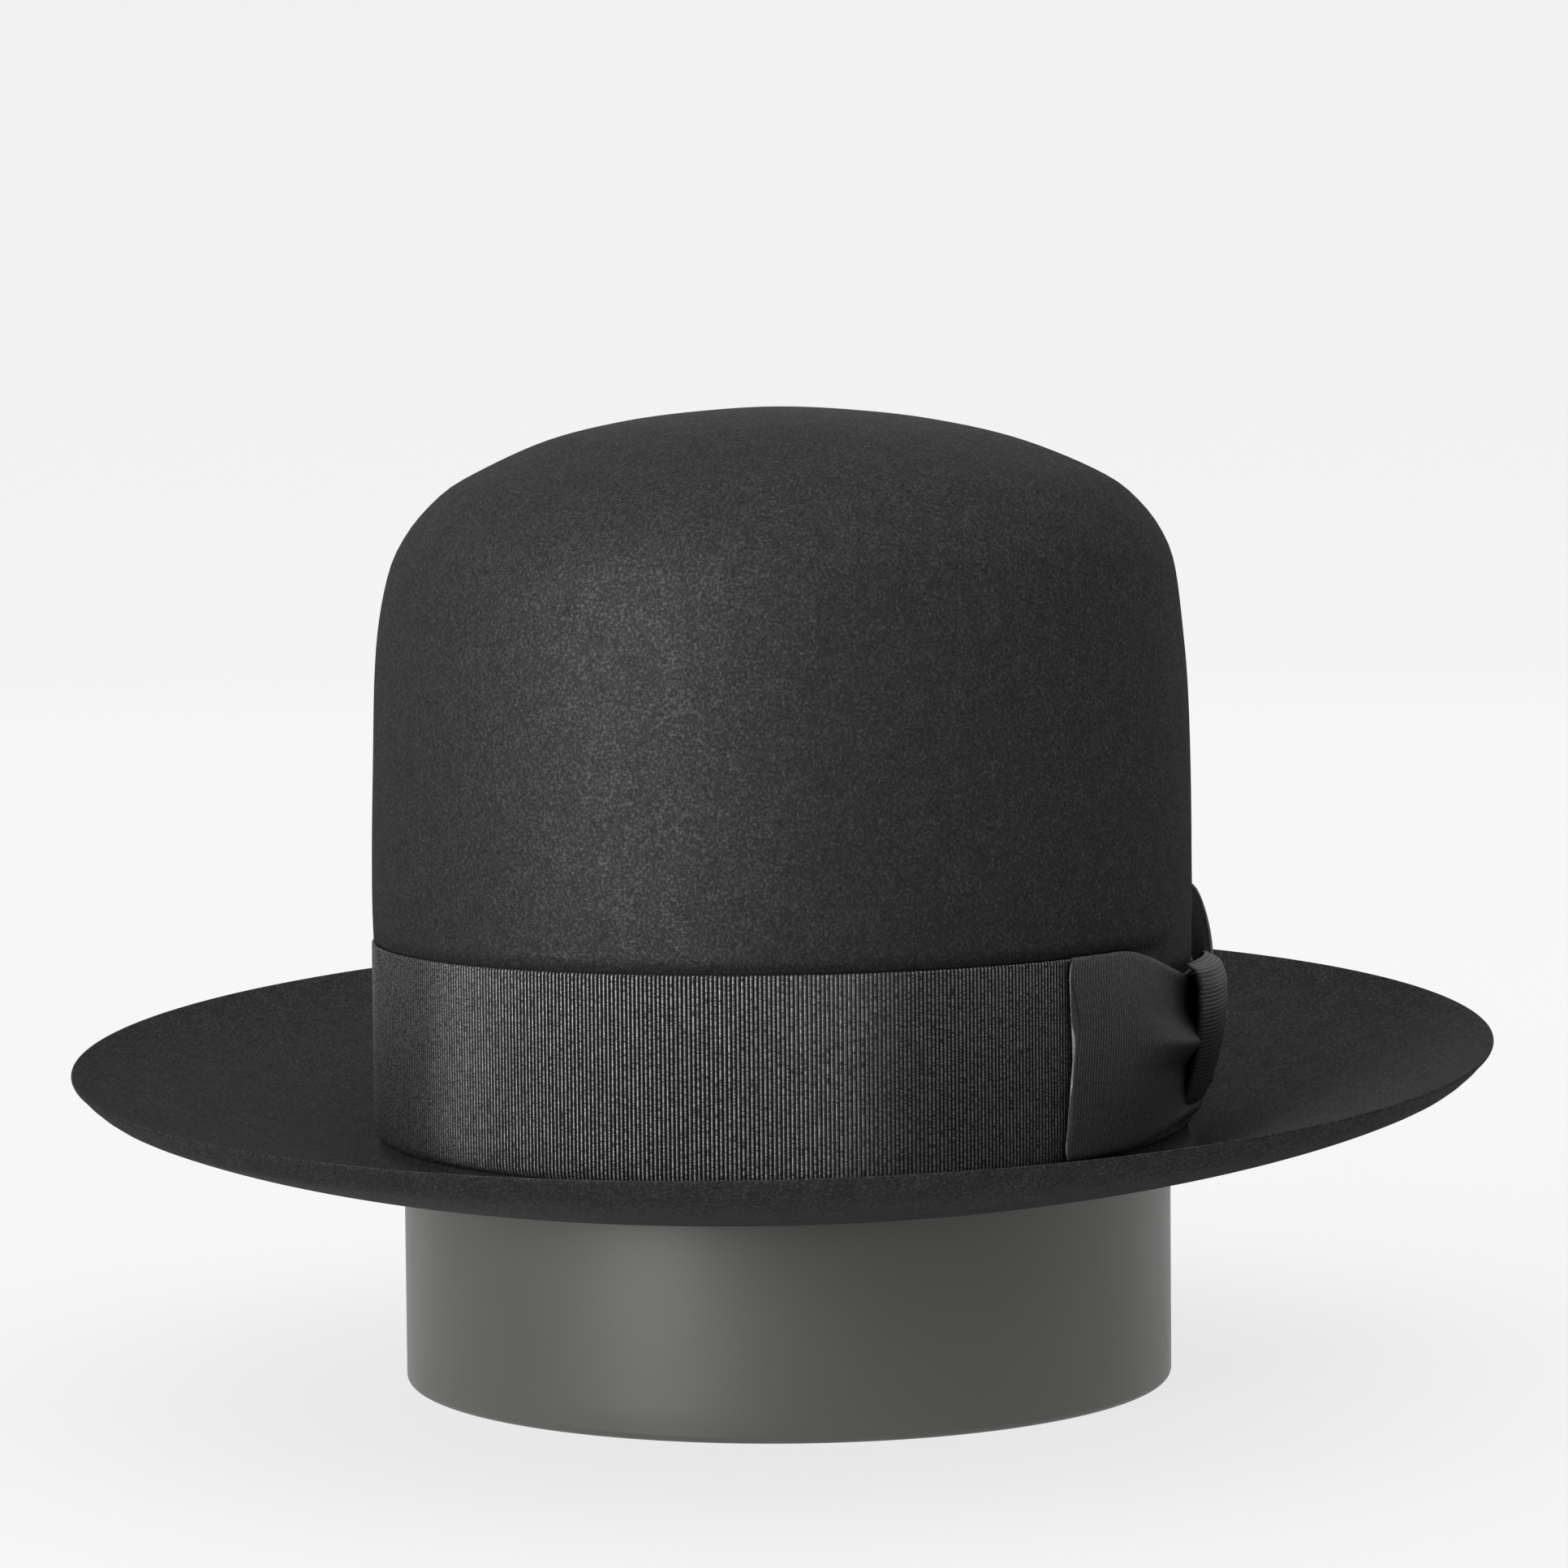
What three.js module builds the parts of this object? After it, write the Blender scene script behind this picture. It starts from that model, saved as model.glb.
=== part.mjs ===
// A black felt fedora with a grosgrain ribbon and bow, resting on a plain round stand.
// Millimetres, +Z up. The front of the hat faces -Y and the wearer's left side, with the bow, is +X.
// The origin is on the surface that the stand rests on, under the middle of the brim.

import * as THREE from 'three';

// Driving dimensions
const STAND_RADIUS = 83.1;
const STAND_FOOT_EDGE = 1.5;
const DOME_WIDTH = 0.98; // the stand's domed top against the inside of the crown
const DOME_START_SLOPE = 2; // rise against run where the column goes over into the dome
const RIBBON_FOOT_HEIGHT = 55; // the ribbon's lower edge above the surface under the stand
const FELT = 2.4; // wall of the crown at its sides
const BRIM_FELT = 3.0; // brim, measured straight down
const BRIM_EDGE_ROUNDING = 1.0;
const RIBBON = 1.0;
const RIBBON_EDGE = 0.33; // softness of the ribbon's outer edges
const RIBBON_HEIGHT = 41.3;
const RIBBON_HALF_WIDTH = 88; // outside of the ribbon, side to side
const CROWN_RATIO = 1.18; // front to back against side to side
const BRIM_HALF_WIDTH = 152.0;
const BRIM_HALF_LENGTH = 165.8;
const GAP = 0.3; // between neighbouring pieces

// Numbers of facets
const ROUND_FACETS = 60;
const CROWN_STEPS = 16;
const BRIM_STEPS = 9;
const LEAF_STEPS = 12;
const LEAF_ROWS = 8;
const WRAP_STEPS = 5;
const WRAP_ROWS = 8;

// Heights below are measured from the ribbon's lower edge.
const CROWN_UNDER_RIBBON = RIBBON_HALF_WIDTH - RIBBON - GAP;
const BREAK_DEPTH = 4.7; // the brim leaves the crown this far below the ribbon
const BREAK_RADIUS = 5;

// Outside of the crown above the ribbon, from the ribbon to the top
const CROWN_SHAPE = [
  { halfWidth: 87.0, height: 43.0 },
  { halfWidth: 87.6, height: 52.0 },
  { halfWidth: 87.5, height: 74.0 },
  { halfWidth: 86.7, height: 99.0 },
  { halfWidth: 84.3, height: 117.7 },
  { halfWidth: 81.1, height: 126.7 },
  { halfWidth: 75.5, height: 134.1 },
  { halfWidth: 68.0, height: 139.8 },
  { halfWidth: 51.1, height: 147.3 },
  { halfWidth: 33.7, height: 151.6 },
  { halfWidth: 16.7, height: 153.8 },
  { halfWidth: 0.0, height: 154.7 },
];

// The brim's edge is 18.2 mm above the ribbon's foot at the sides, lower in front and higher behind.
const BRIM_RISE = 18.2;
const BRIM_RISE_BEHIND = 8.2;
const BRIM_CURL = 0.3; // share of the rise that comes in the curl at the edge
const CURL_POWER = 5;
const BRIM_HOLLOW = -0.9; // sag of the brim halfway out, all round
const BRIM_HOLLOW_FRONT = 1.9; // more of it in front, less behind

// The crown's shoulder leans a little to the wearer's left, and its top leans back again.
const LEAN = { sideways: 1.2, from: 104, full: 138, backShare: 1.5, backFrom: 140, backFull: 155 };

// The bow: from and to are degrees round the crown from the front. A leaf has a free end and an end
// that the wrap, the strap round the bow's middle, holds.
const WRAP = { from: 84.6, to: 97.2, foot: 3.2, top: 36.5 };
const BOW_REACH = 21.5; // degrees on either side of the wrap over which the ribbon is drawn together
const RIBBON_DIP = 8; // how far the ribbon's upper edge comes down where the wrap holds it
const FRONT_LEAF = {
  from: 54, to: 84.3,
  freeFoot: 0.8, freeTop: 41.7, freeLift: 0,
  heldFoot: 4.6, heldTop: 33.7, heldLift: 0,
};
const REAR_LEAF = {
  from: 97.5, to: 120,
  freeFoot: 7, freeTop: 48.5, freeLift: 3.4,
  heldFoot: 5, heldTop: 34.2, heldLift: 1.6,
};
const LEAF_THICKNESS = 1.6;
// How far the held end of a leaf stands off the ribbon, from its lower edge to its upper
const HELD_FOLDS = [
  { across: 0.0, lift: 1.8 },
  { across: 0.22, lift: 0.5 },
  { across: 0.43, lift: 1.0 },
  { across: 0.53, lift: 3.6 },
  { across: 0.76, lift: 0.5 },
  { across: 1.0, lift: 1.2 },
];
// Outside of the wrap, which is fullest near its upper end
const WRAP_SHAPE = [
  { across: 0.0, lift: 1.2 },
  { across: 0.15, lift: 3.4 },
  { across: 0.33, lift: 5.4 },
  { across: 0.55, lift: 6.9 },
  { across: 0.75, lift: 7.4 },
  { across: 0.9, lift: 6.8 },
  { across: 1.0, lift: 4.6 },
];
const WRAP_SIDE_ROUNDING = 0.35; // share of its fullness that the wrap loses at its two sides

// Colours and finishes
const FELT_MATERIAL = new THREE.MeshStandardMaterial({ color: 0x242425, roughness: 0.95, metalness: 0 });
const RIBBON_MATERIAL = new THREE.MeshStandardMaterial({ color: 0x303031, roughness: 0.6, metalness: 0 });
const STAND_MATERIAL = new THREE.MeshStandardMaterial({ color: 0x77777a, roughness: 0.55, metalness: 0 });

function smooth(from, to, value) {
  return THREE.MathUtils.smoothstep(value, from, to);
}

// Distance from the middle to the front of an oval whose half width is given
function halfLength(halfWidth) {
  if (halfWidth <= RIBBON_HALF_WIDTH) return halfWidth * CROWN_RATIO;
  const outside = (halfWidth - RIBBON_HALF_WIDTH) / (BRIM_HALF_WIDTH - RIBBON_HALF_WIDTH);
  return THREE.MathUtils.lerp(RIBBON_HALF_WIDTH * CROWN_RATIO, BRIM_HALF_LENGTH, outside);
}

// Height that the brim's sweep adds at a place, from nothing at the crown
function brimSweep(halfWidth, turn) {
  const out = (halfWidth - RIBBON_HALF_WIDTH) / (BRIM_HALF_WIDTH - RIBBON_HALF_WIDTH);
  if (out <= 0) return 0;
  const front = Math.cos(turn);
  const rise = BRIM_RISE - BRIM_RISE_BEHIND * front;
  const curve = BRIM_CURL * out ** CURL_POWER + (1 - BRIM_CURL) * out;
  const hollow = (BRIM_HOLLOW + BRIM_HOLLOW_FRONT * front) * Math.sin(Math.PI * out);
  return BREAK_DEPTH * out + rise * curve - hollow;
}

// Sideways offset of the crown at a height
function crownLean(height) {
  const back = LEAN.backShare * smooth(LEAN.backFrom, LEAN.backFull, height);
  return LEAN.sideways * smooth(LEAN.from, LEAN.full, height) * (1 - back);
}

// 1 where the wrap holds the ribbon together, falling to 0 on either side of the bow
function heldShare(turn) {
  const degrees = THREE.MathUtils.radToDeg(turn);
  return Math.min(
    smooth(WRAP.from - BOW_REACH, WRAP.from, degrees),
    1 - smooth(WRAP.to, WRAP.to + BOW_REACH, degrees),
  );
}

// A place on the hat: half width of its oval, turn round the crown from the front, height
function hatPoint(halfWidth, turn, height) {
  return new THREE.Vector3(
    halfWidth * Math.sin(turn),
    -halfLength(halfWidth) * Math.cos(turn),
    RIBBON_FOOT_HEIGHT + height,
  );
}

// Turns a profile of half widths and heights round the hat's oval, and lets adjust move each point
function hatSolid(profile, adjust) {
  const geometry = new THREE.LatheGeometry(profile, ROUND_FACETS);
  const place = geometry.attributes.position;
  for (let i = 0; i < place.count; i += 1) {
    const halfWidth = Math.hypot(place.getX(i), place.getZ(i));
    const turn = Math.atan2(place.getX(i), place.getZ(i));
    const height = place.getY(i);
    const point = adjust(hatPoint(halfWidth, turn, height), halfWidth, turn, height);
    place.setXYZ(i, point.x, point.y, point.z);
  }
  geometry.computeVertexNormals();
  return geometry;
}

// The crown's side view above the ribbon, moved inwards by an offset, as points from the foot up
function crownLine(offset) {
  const curve = new THREE.SplineCurve(CROWN_SHAPE.map((row) => new THREE.Vector2(row.halfWidth, row.height)));
  const points = [];
  for (let i = 0; i <= CROWN_STEPS; i += 1) {
    const share = i / CROWN_STEPS;
    const point = curve.getPointAt(share);
    const along = curve.getTangentAt(share);
    const inwards = new THREE.Vector2(-along.y, along.x);
    points.push(point.addScaledVector(inwards, offset));
  }
  points[CROWN_STEPS].x = 0;
  return points;
}

// Quarter round from the crown's wall into the brim, as points from the wall outwards
function breakLine(wall, depth, radius) {
  const points = [];
  for (const degrees of [0, 45, 90]) {
    const angle = THREE.MathUtils.degToRad(degrees);
    points.push(new THREE.Vector2(
      wall + radius * (1 - Math.cos(angle)),
      -depth + radius * (1 - Math.sin(angle)),
    ));
  }
  return points;
}

// The brim before it is swept, as points from the crown to just inside the edge
function brimLine(from, depth, edge) {
  const points = [];
  for (let i = 1; i <= BRIM_STEPS; i += 1) {
    const share = i / BRIM_STEPS;
    points.push(new THREE.Vector2(THREE.MathUtils.lerp(from, edge, share), -depth));
  }
  return points;
}

// Crown and brim as one hollow felt, from the top outside, round the edge, to the top inside
function feltBody() {
  const outerBreak = breakLine(CROWN_UNDER_RIBBON, BREAK_DEPTH, BREAK_RADIUS);
  const innerBreak = breakLine(
    CROWN_UNDER_RIBBON - FELT,
    BREAK_DEPTH + BRIM_FELT,
    BREAK_RADIUS + FELT,
  );
  const brimEdge = BRIM_HALF_WIDTH - BRIM_EDGE_ROUNDING;
  const outside = [
    ...crownLine(0).reverse(),
    new THREE.Vector2(CROWN_UNDER_RIBBON, RIBBON_HEIGHT),
    ...outerBreak,
    ...brimLine(outerBreak[2].x, BREAK_DEPTH, brimEdge),
    new THREE.Vector2(BRIM_HALF_WIDTH, -BREAK_DEPTH - BRIM_EDGE_ROUNDING),
  ];
  const inside = [
    ...crownLine(FELT).reverse(),
    new THREE.Vector2(CROWN_UNDER_RIBBON - FELT, RIBBON_HEIGHT),
    ...innerBreak,
    ...brimLine(innerBreak[2].x, BREAK_DEPTH + BRIM_FELT, brimEdge),
    new THREE.Vector2(BRIM_HALF_WIDTH, -BREAK_DEPTH - BRIM_FELT + BRIM_EDGE_ROUNDING),
  ];
  return hatSolid([...inside, ...outside.reverse()], (point, halfWidth, turn, height) => {
    point.x += crownLean(height);
    point.z += brimSweep(halfWidth, turn);
    return point;
  });
}

// Flat ribbon round the foot of the crown, its upper edge drawn down where the bow holds it
function ribbonBand() {
  const inner = RIBBON_HALF_WIDTH - RIBBON;
  const section = [
    [inner, 0],
    [RIBBON_HALF_WIDTH - RIBBON_EDGE, 0],
    [RIBBON_HALF_WIDTH, RIBBON_EDGE],
    [RIBBON_HALF_WIDTH, RIBBON_HEIGHT - RIBBON_EDGE],
    [RIBBON_HALF_WIDTH - RIBBON_EDGE, RIBBON_HEIGHT],
    [inner, RIBBON_HEIGHT],
    [inner, 0],
  ];
  const profile = section.map(([halfWidth, height]) => new THREE.Vector2(halfWidth, height));
  return hatSolid(profile, (point, halfWidth, turn, height) => {
    if (height > RIBBON_HEIGHT / 2) point.z -= RIBBON_DIP * heldShare(turn);
    return point;
  });
}

// Bends a unit box round the hat: the place of each corner comes from its share along, up and out
function bentBox(steps, rows, placeOf) {
  const geometry = new THREE.BoxGeometry(1, 1, 1, steps, rows, 1);
  const place = geometry.attributes.position;
  for (let i = 0; i < place.count; i += 1) {
    const point = placeOf(place.getX(i) + 0.5, place.getY(i) + 0.5, place.getZ(i) + 0.5);
    place.setXYZ(i, point.x, point.y, point.z);
  }
  geometry.computeVertexNormals();
  return geometry;
}

// Lift that a table gives at a share of the height
function liftAt(table, across) {
  const next = Math.max(1, table.findIndex((row) => row.across >= across));
  const low = table[next - 1];
  const high = table[next];
  return THREE.MathUtils.mapLinear(across, low.across, high.across, low.lift, high.lift);
}

// One leaf of the bow: flat at its free end, drawn together into a ridge where it meets the wrap
function bowLeaf(leaf) {
  return bentBox(LEAF_STEPS, LEAF_ROWS, (along, up, out) => {
    const turn = THREE.MathUtils.degToRad(THREE.MathUtils.lerp(leaf.from, leaf.to, along));
    const held = heldShare(turn);
    const foot = THREE.MathUtils.lerp(leaf.freeFoot, leaf.heldFoot, held);
    const top = THREE.MathUtils.lerp(leaf.freeTop, leaf.heldTop, held);
    const base = THREE.MathUtils.lerp(leaf.freeLift, leaf.heldLift, held);
    const lift = base + liftAt(HELD_FOLDS, up) * held + LEAF_THICKNESS * out;
    return hatPoint(RIBBON_HALF_WIDTH + GAP + lift, turn, THREE.MathUtils.lerp(foot, top, up));
  });
}

// The strap round the bow's middle, with the ribbon that it holds, as one barrel
function bowWrap() {
  return bentBox(WRAP_STEPS, WRAP_ROWS, (along, up, out) => {
    const turn = THREE.MathUtils.degToRad(THREE.MathUtils.lerp(WRAP.from, WRAP.to, along));
    const side = (2 * along - 1) ** 4;
    const lift = out * liftAt(WRAP_SHAPE, up) * (1 - WRAP_SIDE_ROUNDING * side);
    return hatPoint(RIBBON_HALF_WIDTH + GAP + lift, turn, THREE.MathUtils.lerp(WRAP.foot, WRAP.top, up));
  });
}

// Straight round column with a small foot edge and a domed top that the crown's top rests on
function stand() {
  const dome = crownLine(FELT + GAP)
    .map((point) => new THREE.Vector2(point.x * DOME_WIDTH, point.y + RIBBON_FOOT_HEIGHT))
    .filter((point) => point.x < STAND_RADIUS);
  const profile = [
    new THREE.Vector2(0, 0),
    new THREE.Vector2(STAND_RADIUS - STAND_FOOT_EDGE, 0),
    new THREE.Vector2(STAND_RADIUS, STAND_FOOT_EDGE),
    new THREE.Vector2(STAND_RADIUS, dome[0].y - (STAND_RADIUS - dome[0].x) * DOME_START_SLOPE),
    ...dome,
  ];
  return new THREE.LatheGeometry(profile, ROUND_FACETS).rotateX(Math.PI / 2);
}

function named(name, geometry, material) {
  const mesh = new THREE.Mesh(geometry, material);
  mesh.name = name;
  return mesh;
}

const hat = new THREE.Group();
hat.add(
  named('felt_body', feltBody(), FELT_MATERIAL),
  named('ribbon_band', ribbonBand(), RIBBON_MATERIAL),
  named('bow_front_leaf', bowLeaf(FRONT_LEAF), RIBBON_MATERIAL),
  named('bow_rear_leaf', bowLeaf(REAR_LEAF), RIBBON_MATERIAL),
  named('bow_wrap', bowWrap(), RIBBON_MATERIAL),
);

const fedoraOnStand = new THREE.Group();
fedoraOnStand.add(hat, named('stand', stand(), STAND_MATERIAL));

export default fedoraOnStand;
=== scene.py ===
"""A black fur felt fedora with a grosgrain ribbon and bow, resting on a plain round stand.

Sizes are in millimetres and become metres where points are made. +Z is up, the front of the hat faces -Y,
and the wearer's left side, which has the bow, is +X. Turns are angles round the crown from the front.
"""

import logging
import math
from dataclasses import dataclass, field
from enum import Enum
from typing import Any, Mapping, Optional, Sequence, Union

import bpy
import numpy as np
from mathutils import Matrix, Vector


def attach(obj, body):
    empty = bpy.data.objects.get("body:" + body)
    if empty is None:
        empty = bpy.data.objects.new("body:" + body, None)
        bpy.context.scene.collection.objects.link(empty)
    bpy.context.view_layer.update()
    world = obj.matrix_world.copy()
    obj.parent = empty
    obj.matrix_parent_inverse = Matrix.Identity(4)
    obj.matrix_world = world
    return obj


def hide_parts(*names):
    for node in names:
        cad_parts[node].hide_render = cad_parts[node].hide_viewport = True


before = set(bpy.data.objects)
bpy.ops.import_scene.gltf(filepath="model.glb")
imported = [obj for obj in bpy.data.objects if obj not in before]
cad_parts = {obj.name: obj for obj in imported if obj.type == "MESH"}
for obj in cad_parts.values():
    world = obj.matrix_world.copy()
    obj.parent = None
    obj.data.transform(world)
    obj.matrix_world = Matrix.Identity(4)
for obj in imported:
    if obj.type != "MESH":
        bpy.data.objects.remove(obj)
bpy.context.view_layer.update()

LOG = logging.getLogger("fedora")
BODY = "root"
MM = 0.001
UV_NAME = "cloth"


class Slot(Enum):
    """The record's material slots that the pieces take their finish from."""

    FELT = "felt"
    RIBBON = "ribbon"
    STAND = "stand"


def linear(hex_colour: str) -> tuple[float, float, float, float]:
    """Turns an sRGB hex colour to linear light.

    Args:
        hex_colour: Six hex digits after a hash.

    Returns:
        Red, green, blue and an alpha of 1.
    """
    channels = [int(hex_colour[i : i + 2], 16) / 255 for i in (1, 3, 5)]
    red, green, blue = (c / 12.92 if c <= 0.04045 else ((c + 0.055) / 1.055) ** 2.4 for c in channels)
    return red, green, blue, 1.0


def smooth(start: float, full: float, value: Any) -> np.ndarray:
    """Smooth step from 0 at start to 1 at full.

    Args:
        start: Where the step leaves 0.
        full: Where the step reaches 1.
        value: Places to take it at.

    Returns:
        The step at each place.
    """
    share = np.clip((np.asarray(value, float) - start) / (full - start), 0, 1)
    return share * share * (3 - 2 * share)


def between(table: Sequence[tuple[float, float]], value: Any) -> np.ndarray:
    """Smooth curve through a short table of places and values, level at the table's ends.

    Args:
        table: Pairs of place and value, in rising order of place.
        value: Places to take it at.

    Returns:
        The curve at each place.
    """
    at = np.array([row[0] for row in table], float)
    level = np.array([row[1] for row in table], float)
    slope = np.gradient(level, at)
    slope[0] = slope[-1] = 0
    place = np.clip(np.asarray(value, float), at[0], at[-1])
    i = np.clip(np.searchsorted(at, place, side="right") - 1, 0, len(at) - 2)
    run = at[i + 1] - at[i]
    t = (place - at[i]) / run
    return (
        (2 * t**3 - 3 * t**2 + 1) * level[i]
        + (t**3 - 2 * t**2 + t) * run * slope[i]
        + (3 * t**2 - 2 * t**3) * level[i + 1]
        + (t**3 - t**2) * run * slope[i + 1]
    )


def rib_rise(ribs: Any) -> np.ndarray:
    """Round ribs with narrow furrows between them.

    Args:
        ribs: Distance across the ribs, counted in ribs from the top of one.

    Returns:
        Share of the ribs' depth there, from 0 in a furrow to 1 on a rib.
    """
    return np.abs(np.cos(math.pi * np.asarray(ribs, float))) ** 0.6


def run_along(line: np.ndarray) -> np.ndarray:
    """Distance from a line's start to each of its points.

    Args:
        line: The points, a row each.

    Returns:
        The distances, from 0.
    """
    return np.concatenate([[0], np.cumsum(np.linalg.norm(np.diff(line, axis=0), axis=1))])


def spread(*coordinates: Any) -> np.ndarray:
    """Spreads coordinates over the rows and columns of a mesh.

    Args:
        *coordinates: A column, a row or both for each coordinate.

    Returns:
        A point for each row and column, with the coordinates last.
    """
    return np.stack(np.broadcast_arrays(*coordinates), -1)


def skin(name: str, rings: np.ndarray, cloth: np.ndarray, closed: bool) -> bpy.types.Object:
    """Makes a closed mesh from a row of rings of points.

    Args:
        name: Name of the new object.
        rings: Points in metres, as ring, place round the ring, and coordinate.
        cloth: Two cloth coordinates in metres for each point, with one more place round each ring.
        closed: True where the last ring joins the first, False where each end gets a cap.

    Returns:
        The new object, in the scene and shaded smooth.
    """
    count, around = rings.shape[:2]
    last = count if closed else count - 1
    ring, place = np.meshgrid(np.arange(last), np.arange(around), indexing="ij")
    corners = [(ring, place), (ring, place + 1), (ring + 1, place + 1), (ring + 1, place)]
    quads = np.stack([(r % count) * around + p % around for r, p in corners], -1).reshape(-1, 4)
    quad_cloth = np.stack([cloth[np.minimum(r, len(cloth) - 1), p] for r, p in corners], 2).reshape(-1, 2)
    points = rings.reshape(-1, 3)
    faces = quads.tolist()
    loops = [quad_cloth]
    if not closed:
        for end, flip in ((0, True), (count - 1, False)):
            hub = len(points)
            points = np.vstack([points, rings[end].mean(0)])
            first = end * around + np.arange(around)
            second = end * around + (np.arange(around) + 1) % around
            pair = (second, first) if flip else (first, second)
            faces += np.stack([pair[0], pair[1], np.full(around, hub)], -1).tolist()
            near = np.stack([cloth[end, :-1], cloth[end, 1:]], 1)
            near = near[:, ::-1] if flip else near
            hub_cloth = np.repeat(cloth[end].mean(0)[None, None], around, 0)
            loops.append(np.concatenate([near, hub_cloth], 1).reshape(-1, 2))
    mesh = bpy.data.meshes.new(name)
    mesh.from_pydata(points.tolist(), [], faces)
    layer = mesh.uv_layers.new(name=UV_NAME)
    layer.data.foreach_set("uv", np.concatenate(loops).astype(np.float32).ravel())
    mesh.polygons.foreach_set("use_smooth", np.ones(len(mesh.polygons), bool))
    mesh.update()
    piece = bpy.data.objects.new(name, mesh)
    bpy.context.scene.collection.objects.link(piece)
    return piece


def dress(piece: bpy.types.Object, material: bpy.types.Material, node: str) -> bpy.types.Object:
    """Gives a piece its finish and its place in the frame.

    Args:
        piece: The new piece.
        material: Its finish.
        node: CAD node that it stands for.

    Returns:
        The same piece.
    """
    piece.data.materials.append(material)
    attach(piece, BODY)
    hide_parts(node)
    LOG.info("%s: %d faces", piece.name, len(piece.data.polygons))
    return piece


def add_node(
    tree: bpy.types.NodeTree,
    kind: str,
    options: Optional[Mapping[str, Any]] = None,
    values: Optional[Mapping[Any, Any]] = None,
    links: Optional[Mapping[Any, bpy.types.NodeSocket]] = None,
) -> bpy.types.Node:
    """Adds a node with its settings and links.

    Args:
        tree: Node tree that gets the node.
        kind: Blender's name for the kind of node.
        options: Settings of the node itself.
        values: Fixed values of its inputs, by name or number.
        links: Outputs that feed its inputs, by the input's name or number.

    Returns:
        The new node.
    """
    node = tree.nodes.new(kind)
    for name, value in (options or {}).items():
        setattr(node, name, value)
    for name, value in (values or {}).items():
        node.inputs[name].default_value = value
    for name, source in (links or {}).items():
        tree.links.new(source, node.inputs[name])
    return node


def new_material(name: str) -> bpy.types.Material:
    """Makes an empty node material.

    Args:
        name: What the real material is.

    Returns:
        The material, with no nodes yet.
    """
    material = bpy.data.materials.new(name)
    material.use_nodes = True
    material.node_tree.nodes.clear()
    return material


def noise(
    tree: bpy.types.NodeTree,
    place: bpy.types.NodeSocket,
    grain_mm: float,
    detail: float = 2.0,
    roughness: float = 0.5,
) -> bpy.types.NodeSocket:
    """Adds a noise pattern of a real size.

    Args:
        tree: Node tree that gets the pattern.
        place: Where it is taken, in metres.
        grain_mm: Size of its grain.
        detail: How many finer patterns are laid over it.
        roughness: How strong the finer patterns are.

    Returns:
        The pattern, from 0 to 1.
    """
    values = {"Scale": 1 / (grain_mm * MM), "Detail": detail, "Roughness": roughness}
    return add_node(tree, "ShaderNodeTexNoise", values=values, links={"Vector": place}).outputs["Fac"]


def reckon(
    tree: bpy.types.NodeTree,
    operation: str,
    *terms: Union[float, bpy.types.NodeSocket],
) -> bpy.types.NodeSocket:
    """Adds a step of arithmetic.

    Args:
        tree: Node tree that gets the step.
        operation: Blender's name for it.
        *terms: Its numbers or outputs, in the order of its inputs.

    Returns:
        The result.
    """
    links = {i: term for i, term in enumerate(terms) if isinstance(term, bpy.types.NodeSocket)}
    values = {i: term for i, term in enumerate(terms) if i not in links}
    return add_node(tree, "ShaderNodeMath", {"operation": operation}, values, links).outputs[0]


def remap(
    tree: bpy.types.NodeTree,
    value: bpy.types.NodeSocket,
    span: tuple[float, float],
    result: tuple[float, float] = (0.0, 1.0),
    kind: str = "LINEAR",
) -> bpy.types.NodeSocket:
    """Adds a change of range, held at its ends.

    Args:
        tree: Node tree that gets it.
        value: What is changed.
        span: The values where the result is at its first and its last.
        result: The first and the last result.
        kind: Blender's name for the way between them.

    Returns:
        The changed value.
    """
    values = {"From Min": span[0], "From Max": span[1], "To Min": result[0], "To Max": result[1]}
    options = {"interpolation_type": kind}
    return add_node(tree, "ShaderNodeMapRange", options, values, {"Value": value}).outputs["Result"]


def mix_colours(
    tree: bpy.types.NodeTree,
    share: bpy.types.NodeSocket,
    first: Union[str, bpy.types.NodeSocket],
    second: Union[str, bpy.types.NodeSocket],
) -> bpy.types.NodeSocket:
    """Adds a blend of two colours.

    Args:
        tree: Node tree that gets the blend.
        share: Share of the second colour.
        first: Hex colour or output.
        second: Hex colour or output.

    Returns:
        The blended colour.
    """
    ends = {6: first, 7: second}
    values = {i: linear(end) for i, end in ends.items() if isinstance(end, str)}
    links = {0: share, **{i: end for i, end in ends.items() if i not in values}}
    return add_node(tree, "ShaderNodeMix", {"data_type": "RGBA"}, values, links).outputs[2]


def bump(
    tree: bpy.types.NodeTree,
    height: bpy.types.NodeSocket,
    depth_mm: float,
    strength: float,
) -> bpy.types.NodeSocket:
    """Adds a fine relief.

    Args:
        tree: Node tree that gets the relief.
        height: Its height, from 0 to 1.
        depth_mm: Depth of the full height.
        strength: Share of the relief that shows.

    Returns:
        The tilted normal.
    """
    values = {"Strength": strength, "Distance": depth_mm * MM}
    return add_node(tree, "ShaderNodeBump", values=values, links={"Height": height}).outputs["Normal"]


def show(tree: bpy.types.NodeTree, shader: bpy.types.Node, gloss: Optional[bpy.types.Node] = None) -> None:
    """Puts a shader on the surface, with a gloss added to it where one is given.

    Args:
        tree: Node tree of the material.
        shader: The main shader.
        gloss: A second shader, whose light is added.
    """
    shown = shader.outputs["BSDF"]
    if gloss:
        shown = add_node(tree, "ShaderNodeAddShader", links={0: shown, 1: gloss.outputs["BSDF"]}).outputs[0]
    add_node(tree, "ShaderNodeOutputMaterial", links={"Surface": shown})


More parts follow.
